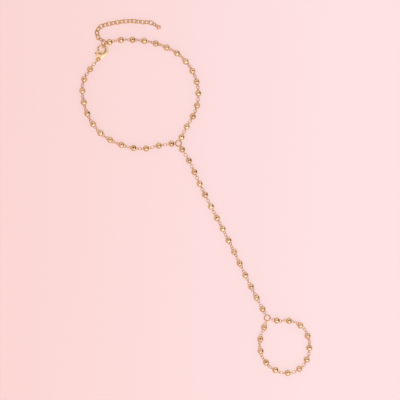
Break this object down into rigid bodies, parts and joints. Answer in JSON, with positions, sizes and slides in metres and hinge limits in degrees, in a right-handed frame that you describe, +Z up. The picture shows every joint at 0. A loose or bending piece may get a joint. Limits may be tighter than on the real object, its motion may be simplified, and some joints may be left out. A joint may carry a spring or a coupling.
{
  "type": "hand chain bracelet",
  "caption": "Gold-plated hand chain: a ball-chain wrist loop with lobster clasp and extender, joined by a ball chain to a ball-chain finger loop.",
  "frame": {"origin": "middle of the laid-out bracelet's bounding box, on the table's surface", "axes": "+Z up from the table, +Y along the table towards the wrist loop, +X to the side of the finger loop"},
  "size_m": [0.1144, 0.1752, 0.0034],
  "materials": {
    "gold": "polished light gold plate",
    "clasp_gold": "polished gold plate"
  },
  "bodies": {
    "bracelet": {"wrist_chain_lower": "gold", "wrist_chain_upper": "gold", "hand_chain": "gold", "finger_chain": "gold", "extender_chain": "gold", "junction_ring": "gold", "finger_ring": "gold", "catch_ring": "gold", "tail_ring": "gold", "end_ring": "gold", "end_drop": "gold", "clasp_body": "clasp_gold"},
    "lever": {"clasp_lever": "clasp_gold"}
  },
  "joints": [
    {"name": "clasp_lever_pivot", "type": "hinge", "parent": "bracelet", "child": "lever", "pos_m": [-0.04577, 0.07004, 0.0013], "axis": [0, 0, 1], "range_deg": [0, 25], "stiffness_Nm_per_rad": 0.002, "springref_deg": -11.46}
  ]
}
